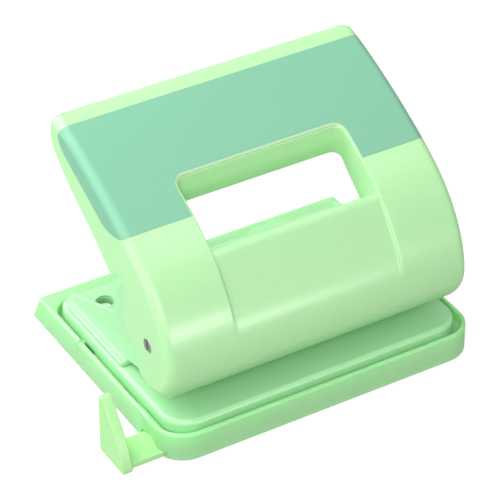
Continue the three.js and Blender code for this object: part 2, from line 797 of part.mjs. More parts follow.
const HALF = TRAY_LENGTH / 2;
const trayOuter = roundedSlab(HALF, TRAY_FRONT_Y, TRAY_BACK_Y, FRONT_CORNER_RADIUS,
  BACK_CORNER_RADIUS, 0, TRAY_HEIGHT, 1, TRAY_BACK_LEAN);
const REAR_RIM_Y = 41;

function trayHollow(wall, frontY, backY, bottomZ) {
  return prism('z', plan(HALF - wall, frontY, backY, FRONT_CORNER_RADIUS - wall, 2.2), bottomZ, 30);
}

const LUG_X = 50;
const LUG_WIDTH = 3;
const LUG_RADIUS = 2.2;

function rearFrame() {
  const keep = box(-80, 80, TRAY_SPLIT_Y, 80, -1, 30);
  let frame = trayOuter
    .subtract(trayHollow(TRAY_WALL + 0.2, TRAY_FRONT_Y + 2, REAR_RIM_Y, TRAY_FLOOR))
    .subtract(box(-HALF + 6, HALF - 6, REAR_RIM_Y - 1, TRAY_BACK_Y - 1.8, TRAY_FLOOR, TRAY_HEIGHT - 1.5))
    .intersect(keep);
  for (const [, side] of SIDES) {
    const peg = turned('z', side * PEG_X, PEG_Y, [
      [TRAY_FLOOR - 0.4, 4],
      [PLATE_TOP_Z - PLATE_THICKNESS - GAP, 4],
      [PLATE_TOP_Z - PLATE_THICKNESS - GAP + 0.01, PEG_RADIUS],
      [PLATE_TOP_Z - 0.2, PEG_RADIUS],
      [PLATE_TOP_Z + 0.3, PEG_RADIUS - 0.6],
    ], 24);
    const from = Math.min(side * LUG_X, side * (LUG_X + LUG_WIDTH));
    const lug = prism('x', [
      ...arc(TRAY_HINGE_Y, TRAY_HINGE_Z, LUG_RADIUS, 90, 270, 10),
      [TRAY_SPLIT_Y + 2, TRAY_HINGE_Z - LUG_RADIUS],
      [TRAY_SPLIT_Y + 2, TRAY_HINGE_Z + LUG_RADIUS],
    ], from, from + LUG_WIDTH);
    const clipInner = side * (PLATE_HALF_LENGTH + GAP);
    const clipOuter = side * (HALF - 0.8);
    const clip = box(Math.min(clipInner, clipOuter), Math.max(clipInner, clipOuter),
      TRAY_SPLIT_Y, TRAY_SPLIT_Y + 1.8, 5, TRAY_HEIGHT - 1.4);
    const hingeHole = rod('x', TRAY_HINGE_Y, TRAY_HINGE_Z, TRAY_HINGE_PIN_RADIUS + GAP,
      from - 1, from + LUG_WIDTH + 1, 20);
    frame = frame.add(peg).add(lug).add(clip).subtract(hingeHole);
  }
  return frame;
}

addPart('rear_frame', rearFrame(), plastic(TRAY_GREEN, 0.5));

// ---------------------------------------------------------------- lower tray, opening part

const CHANNEL_CLEARANCE = GAP;
const TUNNEL_TOP_Z = GUIDE_TOP_Z + GAP + 1.3;
const TONGUE_REACH = 0.8;
const POST_PLACES = [[-48, -36.5], [48, -36.5]];

// Hollow that the paper guide's arm slides in, open at the bottom, with a groove on both sides.
function armChannel() {
  const front = GUIDE_FRONT_Y - CHANNEL_CLEARANCE;
  const back = GUIDE_BACK_Y + CHANNEL_CLEARANCE;
  return prism('x', [
    [front, -1],
    [back, -1],
    [back, 0.9],
    [back + TONGUE_REACH, 0.9],
    [back + TONGUE_REACH, GUIDE_TOP_Z + CHANNEL_CLEARANCE],
    [front - TONGUE_REACH, GUIDE_TOP_Z + CHANNEL_CLEARANCE],
    [front - TONGUE_REACH, 0.9],
    [front, 0.9],
  ], -HALF - 1, HALF - 3);
}

function chipTray() {
  const keep = prism('x', [
    [TRAY_FRONT_Y - 1, -1],
    [TRAY_HINGE_Y, -1],
    ...arc(TRAY_HINGE_Y, TRAY_HINGE_Z, TRAY_SPLIT_Y - GAP - TRAY_HINGE_Y, -90, 0, 6),
    [TRAY_SPLIT_Y - GAP, TRAY_HEIGHT - 1.4],
    [TRAY_SPLIT_Y - GAP - 0.4, TRAY_HEIGHT - 0.4],
    [TRAY_SPLIT_Y - GAP - 1.6, TRAY_HEIGHT + 0.2],
    [TRAY_SPLIT_Y - GAP - 3, TRAY_HEIGHT + 1],
    [TRAY_FRONT_Y - 1, TRAY_HEIGHT + 1],
  ], -80, 80);
  const tunnel = box(-HALF, HALF, GUIDE_FRONT_Y - 2.4, GUIDE_BACK_Y + 2.4, 0, TUNNEL_TOP_Z)
    .intersect(trayOuter);
  let tray = trayOuter
    .subtract(trayHollow(TRAY_WALL, TRAY_FRONT_Y + TRAY_WALL, 60, TRAY_FLOOR))
    .add(tunnel)
    .intersect(keep);
  for (const [x, y] of POST_PLACES) {
    tray = tray.add(rod('z', x, y, 2.4, TRAY_FLOOR, PLATE_TOP_Z - PLATE_THICKNESS - GAP, 20));
  }
  tray = tray.subtract(armChannel());
  for (const [, side] of SIDES) {
    const lugInner = side * (LUG_X - GAP);
    const lugOuter = side * (LUG_X + LUG_WIDTH + GAP);
    tray = tray.subtract(box(Math.min(lugInner, lugOuter), Math.max(lugInner, lugOuter),
      TRAY_HINGE_Y - LUG_RADIUS - GAP, 30, -1, TRAY_HEIGHT));
    const cheekOuter = side * (LUG_X + LUG_WIDTH + GAP + 1.6);
    const cheek = prism('x', [
      [TRAY_HINGE_Y - 3, 0],
      ...arc(TRAY_HINGE_Y, TRAY_HINGE_Z, 2.2, -90, 120, 10),
      [TRAY_HINGE_Y - 3, TRAY_HINGE_Z],
    ], Math.min(lugOuter, cheekOuter), Math.max(lugOuter, cheekOuter));
    const stubInner = side * (LUG_X + 0.4);
    const stub = rod('x', TRAY_HINGE_Y, TRAY_HINGE_Z, TRAY_HINGE_PIN_RADIUS,
      Math.min(stubInner, cheekOuter), Math.max(stubInner, cheekOuter), 20);
    tray = tray.add(cheek).add(stub);
  }
  return tray.subtract(thumbScoop());
}

// Scoop in the left wall that frees the guide arm and gives a fingertip room beside the fin.
function thumbScoop() {
  const low = {
    at: -0.5,
    outline: [[-HALF - 1, -25.6], [-HALF + 3, -27.5], [-HALF + 3, -36.5], [-HALF - 1, -38.6]],
  };
  const high = {
    at: TRAY_HEIGHT + 0.4,
    outline: [[-HALF - 1, -23], [-HALF + 0.8, -24], [-HALF + 0.8, -29.5], [-HALF - 1, -30.5]],
  };
  return solid(skin('z', [low, high]));
}

addPart('chip_tray', chipTray(), plastic(TRAY_GREEN, 0.5));

// ---------------------------------------------------------------- paper guide

const FIN_OUTLINE = [
  [-25.2, GUIDE_BOTTOM_Z],
  [-25.2, 22.2],
  [-26, 23.2],
  [-28.2, 23.2],
  [-31.6, 18.6],
  [-36.2, 12.6],
  [-39.4, 6.6],
  [-41.2, 1.4],
  [-41, GUIDE_BOTTOM_Z],
];

function paperGuide() {
  const fin = prism('x', FIN_OUTLINE, FIN_OUTER_X, FIN_INNER_X);
  const arm = box(FIN_OUTER_X + 1, FIN_INNER_X + GUIDE_ARM_LENGTH, GUIDE_FRONT_Y, GUIDE_BACK_Y,
    GUIDE_BOTTOM_Z, GUIDE_TOP_Z);
  const tongue = TONGUE_REACH - 0.1;
  const tongues = box(-HALF + 6, FIN_INNER_X + GUIDE_ARM_LENGTH, GUIDE_FRONT_Y - tongue,
    GUIDE_BACK_Y + tongue, 0.9 + GAP, GUIDE_TOP_Z - 0.1);
  return fin.add(arm).add(tongues);
}

addPart('paper_guide', paperGuide(), plastic(GUIDE_GREEN, 0.5));

export default punch;
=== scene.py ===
"""The looks of a two-hole office punch, built round its CAD frame.

Lengths are in millimetres until a mesh is made. The front, where the paper goes in, faces -Y.
"""

import math

import bpy
import numpy as np
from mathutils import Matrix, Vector


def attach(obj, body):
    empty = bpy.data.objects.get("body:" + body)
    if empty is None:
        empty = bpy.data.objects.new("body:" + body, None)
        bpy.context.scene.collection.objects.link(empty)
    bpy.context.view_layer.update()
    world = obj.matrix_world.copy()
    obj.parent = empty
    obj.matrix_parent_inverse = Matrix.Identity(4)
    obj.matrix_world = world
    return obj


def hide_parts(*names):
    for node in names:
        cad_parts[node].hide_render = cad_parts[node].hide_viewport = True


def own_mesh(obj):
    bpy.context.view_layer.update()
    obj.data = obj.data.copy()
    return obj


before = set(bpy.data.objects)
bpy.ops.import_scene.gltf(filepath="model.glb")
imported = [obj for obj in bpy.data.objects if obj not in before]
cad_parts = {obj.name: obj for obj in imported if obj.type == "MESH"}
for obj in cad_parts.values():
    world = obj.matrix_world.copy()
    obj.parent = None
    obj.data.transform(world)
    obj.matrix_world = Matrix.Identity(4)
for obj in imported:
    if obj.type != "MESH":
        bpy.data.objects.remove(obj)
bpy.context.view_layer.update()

MM = 0.001

# ---------------------------------------------------------------- driving dimensions

GAP = 0.3  # clearance round a piece that moves or sits in another
SIDES = {"left": -1, "right": 1}  # the way along X to each side

# Lower tray, parted at SPLIT into the chip tray in front and the rear frame behind.
TRAY_HALF = 60.6
TRAY_FRONT = -46.0
TRAY_BACK = 46.6
TRAY_LEAN = 5.0  # how much further back the back wall stands at the table
TRAY_HEIGHT = 10.8
TRAY_WALL = 1.5
TRAY_FLOOR = 1.4
TRAY_EDGE = 1.1
FRONT_CORNER = 11.0
BACK_CORNER = 1.6
SPLIT = 17.6
RIM_BACK = 40.4
RIM_CORNER = 7.0
HINGE = (15.0, 2.4)

# Base plate and the bracket on it, whose ears carry the axle.
PLATE_HALF = 57.0
PLATE_FRONT = -42.8
PLATE_BACK = 39.5
PLATE_TOP = 13.0
PLATE_SHEET = 1.4
PLATE_SKIRT = 8.0
PLATE_EDGE = 1.7
PLATE_FRONT_CORNER = 10.0
PLATE_BACK_CORNER = 6.0
FLANGE_TOP = 15.0
FLANGE_INSET = 0.6
FLANGE_EDGE = 0.5
PAPER_STOP = -5.5
EAR_OUTER = 54.0
EAR_SHEET = 1.5
EAR_RADIUS = 6.4
BRIDGE_Z = 18.2
HOLE_X = 40.0
PIN_Y = -17.5
PEG = (44.2, 27.6)
RIVETS = [(-25, 1.5), (25, 1.5), (-25, 29), (25, 29)]
AXLE = (-27.5, 37.4)
AXLE_RADIUS = 2.4

# Handle, with the finger window through it and the channel below the window.
HANDLE_HALF = 58.0
HANDLE_WALL = 2.4
HANDLE_EDGE = 3.4
GRIP_DEPTH = 1.2
GRIP_MARGIN = 0.1
SEAM = 0.05
WINDOW_HALF = 31.9
WINDOW_FRONT = -80.0  # the window's cut runs out past the handle's face
WINDOW_BACK = -0.8
WINDOW_CORNER = 3.4
WINDOW_RIM = 0.8
SLEEVE = 2.4
CHANNEL_SHEET = 1.7
CHANNEL_FILLET = 0.7
ROLL_CENTRE = (-24.4, 61.1)
ROLL_RADIUS = 2.2
ROLL_SPAN = (146, 44)
HEEL_CENTRE = (-17.4, 53.86)

# Outer face of the handle from the free end over the top to the front lip, as (y, z).
FACE = [
    (32.6, 75), (35.8, 78.2), (37.3, 81.4), (37.6, 84.8), (37.2, 87.6), (36, 90), (33.4, 91.3),
    (28.4, 90.3), (21, 87.8), (14, 85), (4.4, 80.8), (-3.5, 76.9), (-12.5, 72.1), (-21.5, 66.4),
    (-27, 62), (-32, 56.8), (-36.6, 50.2), (-39.4, 44.5), (-41.2, 38.8), (-42, 33.4),
    (-41.5, 28.6), (-39.6, 24.6), (-36.8, 21),
]
# Lower edge of the side walls, from the front lip back up to the free end.
RIM = [
    (-33, 19.9), (-29, 19.6), (-24.5, 21), (-21.2, 22.6), (-20.2, 27), (-19.2, 31.2),
    (-16.4, 33.4), (-12.8, 34.8), (-11.4, 37.5), (-11.6, 41), (-12.2, 46), (-11.9, 52.4),
    (-10.6, 53.8), (-4.6, 51), (-2.6, 51), (1.2, 54), (9.8, 60.4), (22.8, 68.6),
]
# The grip inlay's edge on the handle's side, closed above and behind the handle.
GRIP = [
    (-23, 89), (-13.9, 71.5), (-12.4, 69.9), (-9.5, 68.8), (-5, 68), (-1.5, 67.9), (1.4, 68.7),
    (5.4, 70.7), (10.4, 73.2), (21.1, 78.3), (26.2, 81), (29.2, 83.4), (30.1, 86), (29, 88.6),
    (28, 90), (27.6, 100),
]
# How deep the channel below the window lies under the handle's face, as (height, depth).
CHANNEL_DEPTH = [
    (33, -0.6), (35.5, -0.14), (37, -0.01), (38.5, 0.03), (40, 0.09), (41.5, 0.18), (43, 0.32),
    (45, 0.56), (47.5, 0.9), (50.5, 1.2), (53.5, 1.35), (57, 1.25), (60, 0.85), (62.2, 0.38),
]
# The window's back wall, as (distance behind its upper edge, height): it leans back towards the bottom.
BACK_WALL = [
    (2.6, 30), (2.6, 62), (1.5, 66.9), (0.9, 68.4), (0.4, 70.2), (0.1, 71.6), (0, 73), (0, 110),
]
# Underside of the sleeve that lines the window, from the heel back and up to the back wall.
SLEEVE_UNDER = [(-15.2, 50), (-15.2, 54.5), (-5.5, 62), (-2.4, 65.1), (0.9, 66.4), (0.9, 110)]
# Rear edge of the bracket's flange on the right half: it stands back between two tabs for the rear rivets.
FLANGE_REAR = [
    (0, 33.6), (14, 33.8), (19.5, 37.6), (22, 38.9), (29, 38.9), (32, 38), (37, 35.8), (50, 35.6),
    (54, 34.6), (57, 32),
]

# ---------------------------------------------------------------- curves


def between(a, b, c, d, share):
    """A point between b and c on the centripetal curve through four points."""
    t1 = math.dist(a, b) ** 0.5
    t2 = t1 + math.dist(b, c) ** 0.5
    t3 = t2 + math.dist(c, d) ** 0.5
    t = t1 + (t2 - t1) * share
    ab = a * (t1 - t) / t1 + b * t / t1
    bc = b * (t2 - t) / (t2 - t1) + c * (t - t1) / (t2 - t1)
    cd = c * (t3 - t) / (t3 - t2) + d * (t - t2) / (t3 - t2)
    abc = ab * (t2 - t) / t2 + bc * t / t2
    bcd = bc * (t3 - t) / (t3 - t1) + cd * (t - t1) / (t3 - t1)
    return abc * (t2 - t) / (t2 - t1) + bcd * (t - t1) / (t2 - t1)


def smooth_line(points, spacing):
    """Points about spacing apart on a smooth open curve through the given points."""
    p = np.array(points, float)
    p = np.vstack([2 * p[0] - p[1], p, 2 * p[-1] - p[-2]])
    out = []
    for a, b, c, d in zip(p, p[1:], p[2:], p[3:]):
        steps = max(1, round(math.dist(b, c) / spacing))
        out += [between(a, b, c, d, i / steps) for i in range(steps)]
    return np.array(out + [p[-2]])


def normals(line, closed=False):
    """Unit normals of a line of (u, v) points, to the right of its direction of travel."""
    if closed:
        along = np.roll(line, -1, 0) - np.roll(line, 1, 0)
    else:
        along = np.gradient(line, axis=0)
    along /= np.linalg.norm(along, axis=1)[:, None]
    return np.stack([along[:, 1], -along[:, 0]], 1)


def arc(centre, radius, start, end, steps):
    """Points on an arc between two angles in degrees."""
    angles = np.radians(np.linspace(start, end, steps + 1))
    return np.stack([centre[0] + radius * np.cos(angles), centre[1] + radius * np.sin(angles)], 1)


def quarter(count):
    """Angles in radians from 0 to a right angle."""
    return np.radians(np.linspace(0, 90, count))


def plan(half, front, back, front_radius, back_radius, steps=14):
    """A rectangle in plan with its own radius at the front and at the back corners."""
    return np.vstack([
        arc((-half + front_radius, front + front_radius), front_radius, 180, 270, steps),
        arc((half - front_radius, front + front_radius), front_radius, 270, 360, steps),
        arc((half - back_radius, back - back_radius), back_radius, 0, 90, steps),
        arc((-half + back_radius, back - back_radius), back_radius, 90, 180, steps),
    ])


# ---------------------------------------------------------------- meshes

# How a line of (u, v) points stands in space, square to each axis at a given distance along it.
PLACE = {
    "x": lambda line, at: np.stack([np.full(len(line), at), line[:, 0], line[:, 1]], 1),
    "y": lambda line, at: np.stack([line[:, 0], np.full(len(line), at), line[:, 1]], 1),
    "z": lambda line, at: np.stack([line[:, 0], line[:, 1], np.full(len(line), at)], 1),
}


def make(name, points, faces):
    """A mesh object from points in millimetres, with its faces turned outward."""
    mesh = bpy.data.meshes.new(name)
    mesh.from_pydata([tuple(p) for p in np.asarray(points, float) * MM], [], faces)
    mesh.update()
    obj = bpy.data.objects.new(name, mesh)
    bpy.context.scene.collection.objects.link(obj)
    if signed_volume(mesh) < 0:
        mesh.flip_normals()
    return obj


def signed_volume(mesh):
    """Six times a closed mesh's volume, which is negative where the faces point inward."""
    mesh.calc_loop_triangles()
    co = np.array([v.co for v in mesh.vertices])
    tri = np.array([t.vertices for t in mesh.loop_triangles])
    a, b, c = co[tri[:, 0]], co[tri[:, 1]], co[tri[:, 2]]
    return float(np.einsum("ij,ij->i", a, np.cross(b, c)).sum())


def skin(name, loops, ring=False):
    """Joins loops of 3-D points that have the same count. The ends are capped, or joined in a ring."""
    n = len(loops[0])
    faces = []
    pairs = [(s, s + 1) for s in range(len(loops) - 1)]
    if ring:
        pairs.append((len(loops) - 1, 0))
    for s, t in pairs:
        for i in range(n):
            j = (i + 1) % n
            faces.append((s * n + i, s * n + j, t * n + j, t * n + i))
    if not ring:
        faces.append(tuple(range(n))[::-1])
        faces.append(tuple((len(loops) - 1) * n + i for i in range(n)))
    return make(name, np.vstack(loops), faces)


def prism(name, axis, outline, low, high):
    """An outline drawn out along an axis between two distances."""
    line = np.asarray(outline, float)
    return skin(name, [PLACE[axis](line, low), PLACE[axis](line, high)])


def block(name, low, high):
    """A plain box between two corners."""
    corners = [(low[0], low[1]), (high[0], low[1]), (high[0], high[1]), (low[0], high[1])]
    return prism(name, "z", corners, low[2], high[2])


def rod(name, axis, centre, radius, low, high, steps=48):
    """A round bar along an axis."""
    return prism(name, axis, arc(centre, radius, 0, 360 - 360 / steps, steps - 1), low, high)


def turned(name, axis, centre, steps, sides=48):
    """A turned piece, from steps of (distance along the axis, radius)."""
    circle = arc((0, 0), 1, 0, 360 - 360 / sides, sides - 1)
    return skin(name, [PLACE[axis](np.array(centre) + circle * r, at) for at, r in steps])


def settle(obj):
    """Bakes an object's modifiers into its mesh."""
    result = bpy.data.meshes.new_from_object(obj.evaluated_get(bpy.context.evaluated_depsgraph_get()))
    obj.modifiers.clear()
    old = obj.data
    obj.data = result
    bpy.data.meshes.remove(old)
    return obj


def combine(obj, others, how):
    """Joins, cuts or meets an object with others, one after another, and uses them up."""
    for other in others:
        step = obj.modifiers.new("combine", "BOOLEAN")
        step.operation = how
        step.solver = "EXACT"
        step.object = other
        settle(obj)
        bpy.data.objects.remove(other)
    return obj


def cut(obj, *cutters):
    return combine(obj, cutters, "DIFFERENCE")


def join(obj, *others):
    return combine(obj, others, "UNION")


def keep(obj, *others):
    return combine(obj, others, "INTERSECT")


def copy_of(obj):
    twin = bpy.data.objects.new(obj.name + "_twin", obj.data.copy())
    bpy.context.scene.collection.objects.link(twin)
    return twin


def soften(obj, width, angle=40):
    """Rounds the sharp edges of a simple solid."""
    step = obj.modifiers.new("soften", "BEVEL")
    step.width = width * MM
    step.segments = 3
    step.limit_method = "ANGLE"
    step.angle_limit = math.radians(angle)
    step.use_clamp_overlap = True
    return settle(obj)


def paint(mesh, material):
    """Gives a whole mesh one material."""
    mesh.materials.clear()
    mesh.materials.append(material)
    mesh.polygons.foreach_set("material_index", [0] * len(mesh.polygons))


def dress(obj, name, body, material, nodes=(), sharp_from=32):
    """Names a finished piece, shades it smooth, paints it and seats it on its body."""
    obj.name = name
    paint(obj.data, material)
    obj.data.polygons.foreach_set("use_smooth", [True] * len(obj.data.polygons))
    obj.data.set_sharp_from_angle(angle=math.radians(sharp_from))
    step = obj.modifiers.new("weighted", "WEIGHTED_NORMAL")
    step.keep_sharp = True
    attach(obj, body)
    if nodes:
        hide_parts(*nodes)
    return obj


# ---------------------------------------------------------------- materials

COAT_ROUGHNESS = 0.12
GLOW_REACH = 0.005  # metres that light travels under the surface of a plastic
GLOW_COLOR = (0.2, 1.0, 0.25)  # green light travels furthest
GRAIN_DETAIL = 3
GRAIN_HEIGHT = 0.0001


def surface(name, color, roughness, metallic=0.0, coat=0.0, grain=0.0, grain_scale=600.0, glow=0.0):
    """A smooth plastic, paint or metal with a faint procedural grain."""
    material = bpy.data.materials.new(name)
    material.use_nodes = True
    tree = material.node_tree
    shader = tree.nodes["Principled BSDF"]
    shader.inputs["Base Color"].default_value = (*color, 1)
    shader.inputs["Roughness"].default_value = roughness
    shader.inputs["Metallic"].default_value = metallic
    shader.inputs["Coat Weight"].default_value = coat
    shader.inputs["Coat Roughness"].default_value = COAT_ROUGHNESS
    if glow:
        shader.inputs["Subsurface Weight"].default_value = glow
        shader.inputs["Subsurface Scale"].default_value = GLOW_REACH
        shader.inputs["Subsurface Radius"].default_value = GLOW_COLOR
    if grain:
        place = tree.nodes.new("ShaderNodeTexCoord")
        noise = tree.nodes.new("ShaderNodeTexNoise")
        noise.inputs["Scale"].default_value = grain_scale
        noise.inputs["Detail"].default_value = GRAIN_DETAIL
        bump = tree.nodes.new("ShaderNodeBump")
        bump.inputs["Strength"].default_value = grain
        bump.inputs["Distance"].default_value = GRAIN_HEIGHT
        tree.links.new(place.outputs["Object"], noise.inputs["Vector"])
        tree.links.new(noise.outputs["Fac"], bump.inputs["Height"])
        tree.links.new(bump.outputs["Normal"], shader.inputs["Normal"])
    return material


HANDLE_GREEN = surface("handle_green", (0.45, 0.80, 0.41), 0.30, grain=0.05, grain_scale=500, glow=0.3)
TRAY_GREEN = surface("tray_green", (0.38, 0.80, 0.37), 0.42, grain=0.05, grain_scale=500, glow=0.9)
GRIP_TEAL = surface("grip_teal", (0.20, 0.49, 0.325), 0.5, grain=0.2, grain_scale=1500)
GUIDE_GREEN = surface("guide_green", (0.42, 0.80, 0.34), 0.42, grain=0.05, grain_scale=500)
PAINTED_STEEL = surface("painted_steel", (0.41, 0.80, 0.43), 0.34, coat=0.1, grain=0.04, grain_scale=350)
BARE_STEEL = surface("bare_steel", (0.52, 0.50, 0.51), 0.30, metallic=1.0, grain=0.12, grain_scale=900)
SPRING_STEEL = surface("spring_steel", (0.50, 0.49, 0.50), 0.22, metallic=1.0, grain=0.05, grain_scale=900)
# Plain white, used only on the peg caps as painted light for the bright spot seen down the peg holes.
PAINTED_LIGHT_WHITE = surface("painted_light_white", (0.86, 0.86, 0.83), 0.35, grain=0.05, grain_scale=900)

# ---------------------------------------------------------------- handle

# Where cutters end, clear of the handle to each side, ahead of it and above it, and clear of other cutters.
CLEAR_SIDE = 70
CLEAR_AHEAD = -60
CLEAR_ABOVE = 110
CLEAR_CUTTERS = 120

# The free end is a tight curl, up to CURL_END along the outline, which can move in only by CURL_LIMIT.
CURL_END = 26.0
CURL_FADE = 8.0
CURL_LIMIT = 2.4
# The open lower edge, from LIP_START past the front lip on, moves in by much less than the face.
LIP_START = 3.0
LIP_FADE = 9.0
LIP_HOLD = 0.72

face_curve = smooth_line(FACE, 0.9)
rim_curve = smooth_line(RIM, 1.2)
outline = np.vstack([face_curve, rim_curve])
# The face runs from the back over the top to the front, so its outside is on the right of travel.
outward = normals(outline, closed=True)
travelled = np.concatenate([[0], np.cumsum(np.linalg.norm(np.diff(outline, axis=0), axis=1))])


def inset_share(distance):
    """How much of a distance each outline point moves in."""
    share = np.ones(len(outline))
    past_curl = np.clip((travelled - CURL_END) / CURL_FADE, 0, 1)
    if distance > CURL_LIMIT:
        share *= CURL_LIMIT / distance + (1 - CURL_LIMIT / distance) * past_curl
    past_lip = np.clip((travelled - travelled[len(face_curve) - 1] - LIP_START) / LIP_FADE, 0, 1)
    return share * (1 - LIP_HOLD * past_lip)


def handle_ring(distance):
    """The handle's outline, moved in by a distance."""
    return outline - outward * (distance * inset_share(distance))[:, None]


def handle_block(name, inset):
    """The handle as a full block, with rounded ridges along both sides."""
    half = HANDLE_HALF - inset
    radius = HANDLE_EDGE - inset
    ends = []
    for a in quarter(10)[::-1]:
        ends.append((half - radius * (1 - math.sin(a)), handle_ring(inset + radius * (1 - math.cos(a)))))
    left = [PLACE["x"](line, -x) for x, line in ends]
    right = [PLACE["x"](line, x) for x, line in ends[::-1]]
    return skin(name, left + right)


def window_plan(grow):
    """The window seen from above, grown all round."""
    return plan(WINDOW_HALF + grow, WINDOW_FRONT, WINDOW_BACK + grow, 1, WINDOW_CORNER + grow, 16)


def wall_back(x):
    """Where the window's back wall stands at a distance x from the middle, with its rounded corners."""
    past = abs(x) - (WINDOW_HALF - WINDOW_CORNER)
    if past <= 0:
        return WINDOW_BACK
    return WINDOW_BACK - WINDOW_CORNER + math.sqrt(max(WINDOW_CORNER**2 - past**2, 0))


def channel_profile():
    """The channel's floor, the roll above it and the heel that turns down behind."""
    heights, depths = smooth_line(CHANNEL_DEPTH, 0.5).T
    low, top = CHANNEL_DEPTH[0][0], CHANNEL_DEPTH[-1][0]
    front = [i for i, (y, z) in enumerate(face_curve) if y < ROLL_CENTRE[0] and low <= z <= top][::-1]
    floor = [face_curve[i] - outward[i] * np.interp(face_curve[i][1], heights, depths) for i in front]
    roll = arc(ROLL_CENTRE, ROLL_RADIUS, *ROLL_SPAN, 14)
    heel = arc(HEEL_CENTRE, ROLL_RADIUS, ROLL_SPAN[1], 0, 5)
    return np.vstack([floor, roll, heel])


def window_cutter():
    """Takes out the finger window and the channel below it, with a fillet where floor and side walls meet."""
    floor = channel_profile()
    floor_up = -normals(floor)
    corner = WINDOW_HALF - WINDOW_CORNER * np.cos(quarter(12))
    fillet = WINDOW_HALF - CHANNEL_FILLET * (1 - np.sin(quarter(7)))
    xs = np.unique(np.round(np.concatenate([corner, fillet]), 3))
    loops = []
    for x in np.concatenate([-xs[::-1], xs]):
        into = max(abs(x) - (WINDOW_HALF - CHANNEL_FILLET), 0)
        rise = CHANNEL_FILLET - math.sqrt(max(CHANNEL_FILLET**2 - into**2, 0))
        wall = [(wall_back(x) + behind, z) for behind, z in BACK_WALL]
        line = np.vstack([
            floor + floor_up * rise,
            [(floor[-1][0] + rise, BACK_WALL[0][1])],
            wall,
            [(CLEAR_AHEAD, CLEAR_ABOVE), (CLEAR_AHEAD, CHANNEL_DEPTH[0][0] - 0.5)],
        ])
        loops.append(PLACE["x"](line, x))
    return skin("window_cutter", loops)


RIM_FOOT = 38  # height at which the rounding beside the channel has run out
RIM_SHARE = 0.8  # the rounding beside the channel, as a share of the channel's depth
RIM_SLIVER = 0.012  # keeps the cutter's underside off the handle's own face
RIM_LIFT = 0.7  # how steeply the cutter's underside rises beyond the rounding
RIM_TOP = 5  # the cutter's height over the face


def rim_cutter():
    """Rounds the window's upper rim: a slab whose underside falls away next to the window."""
    s = travelled[: len(face_curve)]
    past_curl = s > CURL_END
    foot = s[np.argmax(past_curl & (face_curve[:, 1] < RIM_FOOT))]
    back = float(np.interp(-WINDOW_BACK, -face_curve[past_curl, 0], s[past_curl]))
    # Stations down the face: two behind the window, close ones over its back rim and corners, then even ones.
    stations = np.concatenate([
        [back - 8, back - WINDOW_RIM - 1.2],
        np.linspace(back - WINDOW_RIM - 0.4, back + 0.5, 14),
        np.linspace(back + 0.9, back + WINDOW_CORNER + 1.5, 12),
        np.arange(back + WINDOW_CORNER + 2.2, foot, 1.0),
    ])
    p = np.stack([np.interp(stations, s, face_curve[:, i]) for i in (0, 1)], 1)
    n = np.stack([np.interp(stations, s, outward[: len(s), i]) for i in (0, 1)], 1)
    # Above the roll the rim is full; beside the channel it is never rounder than the channel is deep.
    room = np.array(CHANNEL_DEPTH + [(63.5, 0.5), (66, WINDOW_RIM / RIM_SHARE)])
    round_over = np.clip(RIM_SHARE * np.interp(p[:, 1], room[:, 0], room[:, 1]), 0, WINDOW_RIM)
    corner = WINDOW_HALF - WINDOW_CORNER + WINDOW_CORNER * np.sin(quarter(12))
    beside = np.linspace(WINDOW_HALF, WINDOW_HALF + WINDOW_RIM, 8)[1:]
    xs = np.concatenate([corner, beside, [WINDOW_HALF + WINDOW_RIM + 0.7]])
    loops = []
    for x in np.concatenate([-xs[::-1], xs]):
        dx = abs(x) - (WINDOW_HALF - WINDOW_CORNER)
        dy = p[:, 0] - (WINDOW_BACK - WINDOW_CORNER)
        beyond = np.where((dx > 0) & (dy > 0), np.hypot(dx, dy), np.maximum(dx, dy)) - WINDOW_CORNER
        t = np.clip(beyond / WINDOW_RIM, 0, 1)
        depth = (1 - np.sqrt(np.clip(1 - (1 - t) ** 2, 0, 1))) * round_over
        depth = np.where(t >= 1, -(beyond - WINDOW_RIM) * RIM_LIFT, depth) - RIM_SLIVER
        under = p - n * depth[:, None]
        over = p + n * RIM_TOP
        loops.append(PLACE["x"](np.vstack([under, over[::-1]]), x))
    return skin("rim_cutter", loops)


SLEEVE_FOOT = (-40.2, 38)
SLEEVE_EVEN = 47  # height above which the sheet behind the channel is even
SLEEVE_HALF = 44


def handle_cavity():
    """The hollow under the handle, less the sleeve that lines the window and the channel."""
    inner = handle_ring(HANDLE_WALL)[: len(face_curve)]
    line = np.vstack([[(inner[0][0], 0)], inner, [(inner[-1][0], 0)]])
    half = HANDLE_HALF - HANDLE_WALL
    cavity = prism("cavity", "x", line, -half, half)
    floor = channel_profile()
    under = (floor + normals(floor) * CHANNEL_SHEET)[floor[:, 1] > SLEEVE_EVEN]
    sleeve_line = np.vstack([
        [(CLEAR_AHEAD, SLEEVE_FOOT[1]), SLEEVE_FOOT],
        under,
        [(under[-1][0], SLEEVE_UNDER[0][1])],
        SLEEVE_UNDER,
        [(CLEAR_AHEAD, CLEAR_ABOVE)],
    ])
    sleeve = prism("sleeve", "x", sleeve_line, -SLEEVE_HALF, SLEEVE_HALF)
    keep(sleeve, prism("sleeve_plan", "z", window_plan(SLEEVE), 0, CLEAR_CUTTERS))
    return cut(cavity, sleeve)


def grip_band(name, depth, inset, rim):
    """What lies inside the grip's outline and above a depth below the handle's face."""
    line = np.array(GRIP, float)
    band = prism(name, "x", line - normals(line, closed=True) * inset, -CLEAR_SIDE, CLEAR_SIDE)
    window = prism("clear", "z", window_plan(rim), 0, CLEAR_CUTTERS)
    return cut(band, handle_block("floor", depth), window)


def axle_bore(name, clearance):
    """A bore right across the punch on the axle's line."""
    return rod(name, "x", AXLE, AXLE_RADIUS + clearance, -CLEAR_SIDE, CLEAR_SIDE)


